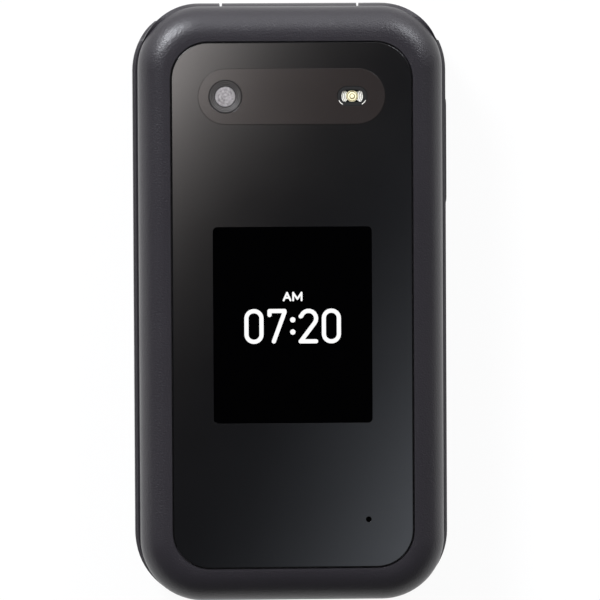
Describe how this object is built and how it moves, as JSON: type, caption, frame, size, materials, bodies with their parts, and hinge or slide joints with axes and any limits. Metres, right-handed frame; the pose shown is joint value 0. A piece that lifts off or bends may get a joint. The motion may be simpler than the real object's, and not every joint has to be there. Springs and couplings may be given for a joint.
{
  "type": "flip phone",
  "caption": "Closed flip phone with an outer screen, a camera and flash in the lid, a hinged lid and a keypad inside.",
  "frame": {"origin": "middle of the back face, on which the closed phone lies", "axes": "+X to the right as seen from above the lid, +Y towards the hinge end, +Z out of the lid's outer face"},
  "size_m": [0.0565, 0.107, 0.019],
  "materials": {
    "shell_plastic": "fine-textured charcoal, satin",
    "rocker_plastic": "satin charcoal",
    "inner_plastic": "matt black",
    "key_plastic": "smooth dark grey",
    "silicone": "matt grey silicone",
    "bumper_rubber": "matt black rubber",
    "window_glass": "polished black-backed clear panel",
    "lens_glass": "clear lens glass",
    "led": "white reflector with a yellow diode",
    "screen": "black screen module",
    "circuit_board": "green solder mask",
    "flex": "amber polyimide",
    "contact_gold": "gold plated",
    "steel": "plain steel",
    "battery_wrap": "grey wrapped cell"
  },
  "bodies": {
    "base": {"base_front_housing": "shell_plastic", "base_rear_housing": "inner_plastic", "battery_cover": "shell_plastic", "battery": "battery_wrap", "main_board": "circuit_board", "dome_sheet": "steel", "keymat": "silicone", "rf_shield": "steel", "loudspeaker": "inner_plastic", "vibration_motor": "steel", "usb_socket": "steel", "headset_jack": "inner_plastic", "sim_reader": "steel", "card_reader": "steel", "battery_contacts": "contact_gold", "base_microphone": "steel", "antenna": "flex", "base_screws": "steel", "hinge_shaft": "steel", "hinge_bush": "inner_plastic", "hinge_flex": "flex"},
    "lid": {"lid_outer_shell": "shell_plastic", "lid_inner_bezel": "inner_plastic", "cover_window": "window_glass", "camera_window": "window_glass", "camera_ring": "inner_plastic", "camera_lens": "lens_glass", "camera_module": "inner_plastic", "flash_bezel": "inner_plastic", "flash_led": "led", "lid_microphone": "steel", "outer_display": "screen", "lid_board": "circuit_board", "lid_chassis": "steel", "main_display": "screen", "main_display_window": "window_glass", "earpiece": "steel", "lid_bumpers": "bumper_rubber", "lid_screws": "steel", "hinge_module": "steel"},
    "key_1": {"key_1": "key_plastic"},
    "key_2": {"key_2": "key_plastic"},
    "key_3": {"key_3": "key_plastic"},
    "key_4": {"key_4": "key_plastic"},
    "key_5": {"key_5": "key_plastic"},
    "key_6": {"key_6": "key_plastic"},
    "key_7": {"key_7": "key_plastic"},
    "key_8": {"key_8": "key_plastic"},
    "key_9": {"key_9": "key_plastic"},
    "key_star": {"key_star": "key_plastic"},
    "key_0": {"key_0": "key_plastic"},
    "key_hash": {"key_hash": "key_plastic"},
    "soft_key_left": {"soft_key_left": "key_plastic"},
    "soft_key_right": {"soft_key_right": "key_plastic"},
    "call_key": {"call_key": "key_plastic"},
    "end_key": {"end_key": "key_plastic"},
    "nav_pad": {"nav_pad": "silicone"},
    "nav_ring": {"nav_ring": "key_plastic"},
    "ok_key": {"ok_key": "key_plastic"},
    "volume_rocker": {"volume_rocker": "rocker_plastic"}
  },
  "joints": [
    {"name": "lid_hinge", "type": "hinge", "parent": "base", "child": "lid", "pos_m": [0, 0.0495, 0.0106], "axis": [-1, 0, 0], "range_deg": [0, 155]},
    {"name": "key_1_press", "type": "slide", "parent": "base", "child": "key_1", "axis": [0, 0, -1], "range_m": [0, 0.0004], "stiffness_N_per_m": 500, "springref_m": -0.001},
    {"name": "key_2_press", "type": "slide", "parent": "base", "child": "key_2", "axis": [0, 0, -1], "range_m": [0, 0.0004], "stiffness_N_per_m": 500, "springref_m": -0.001},
    {"name": "key_3_press", "type": "slide", "parent": "base", "child": "key_3", "axis": [0, 0, -1], "range_m": [0, 0.0004], "stiffness_N_per_m": 500, "springref_m": -0.001},
    {"name": "key_4_press", "type": "slide", "parent": "base", "child": "key_4", "axis": [0, 0, -1], "range_m": [0, 0.0004], "stiffness_N_per_m": 500, "springref_m": -0.001},
    {"name": "key_5_press", "type": "slide", "parent": "base", "child": "key_5", "axis": [0, 0, -1], "range_m": [0, 0.0004], "stiffness_N_per_m": 500, "springref_m": -0.001},
    {"name": "key_6_press", "type": "slide", "parent": "base", "child": "key_6", "axis": [0, 0, -1], "range_m": [0, 0.0004], "stiffness_N_per_m": 500, "springref_m": -0.001},
    {"name": "key_7_press", "type": "slide", "parent": "base", "child": "key_7", "axis": [0, 0, -1], "range_m": [0, 0.0004], "stiffness_N_per_m": 500, "springref_m": -0.001},
    {"name": "key_8_press", "type": "slide", "parent": "base", "child": "key_8", "axis": [0, 0, -1], "range_m": [0, 0.0004], "stiffness_N_per_m": 500, "springref_m": -0.001},
    {"name": "key_9_press", "type": "slide", "parent": "base", "child": "key_9", "axis": [0, 0, -1], "range_m": [0, 0.0004], "stiffness_N_per_m": 500, "springref_m": -0.001},
    {"name": "key_star_press", "type": "slide", "parent": "base", "child": "key_star", "axis": [0, 0, -1], "range_m": [0, 0.0004], "stiffness_N_per_m": 500, "springref_m": -0.001},
    {"name": "key_0_press", "type": "slide", "parent": "base", "child": "key_0", "axis": [0, 0, -1], "range_m": [0, 0.0004], "stiffness_N_per_m": 500, "springref_m": -0.001},
    {"name": "key_hash_press", "type": "slide", "parent": "base", "child": "key_hash", "axis": [0, 0, -1], "range_m": [0, 0.0004], "stiffness_N_per_m": 500, "springref_m": -0.001},
    {"name": "soft_key_left_press", "type": "slide", "parent": "base", "child": "soft_key_left", "axis": [0, 0, -1], "range_m": [0, 0.0004], "stiffness_N_per_m": 500, "springref_m": -0.001},
    {"name": "soft_key_right_press", "type": "slide", "parent": "base", "child": "soft_key_right", "axis": [0, 0, -1], "range_m": [0, 0.0004], "stiffness_N_per_m": 500, "springref_m": -0.001},
    {"name": "call_key_press", "type": "slide", "parent": "base", "child": "call_key", "axis": [0, 0, -1], "range_m": [0, 0.0004], "stiffness_N_per_m": 500, "springref_m": -0.001},
    {"name": "end_key_press", "type": "slide", "parent": "base", "child": "end_key", "axis": [0, 0, -1], "range_m": [0, 0.0004], "stiffness_N_per_m": 500, "springref_m": -0.001},
    {"name": "ok_key_press", "type": "slide", "parent": "base", "child": "ok_key", "axis": [0, 0, -1], "range_m": [0, 0.0004], "stiffness_N_per_m": 500, "springref_m": -0.001},
    {"name": "nav_left_right", "type": "hinge", "parent": "base", "child": "nav_pad", "pos_m": [0, 0.0263, 0.00812], "axis": [0, 1, 0], "range_deg": [-1.2, 1.2], "stiffness_Nm_per_rad": 0.4},
    {"name": "nav_up_down", "type": "hinge", "parent": "nav_pad", "child": "nav_ring", "pos_m": [0, 0.0263, 0.00812], "axis": [1, 0, 0], "range_deg": [-1.2, 1.2], "stiffness_Nm_per_rad": 0.4},
    {"name": "volume_rock", "type": "hinge", "parent": "base", "child": "volume_rocker", "pos_m": [0.0262, 0.0269, 0.007], "axis": [0, 0, 1], "range_deg": [-1.2, 1.2], "stiffness_Nm_per_rad": 0.35}
  ]
}
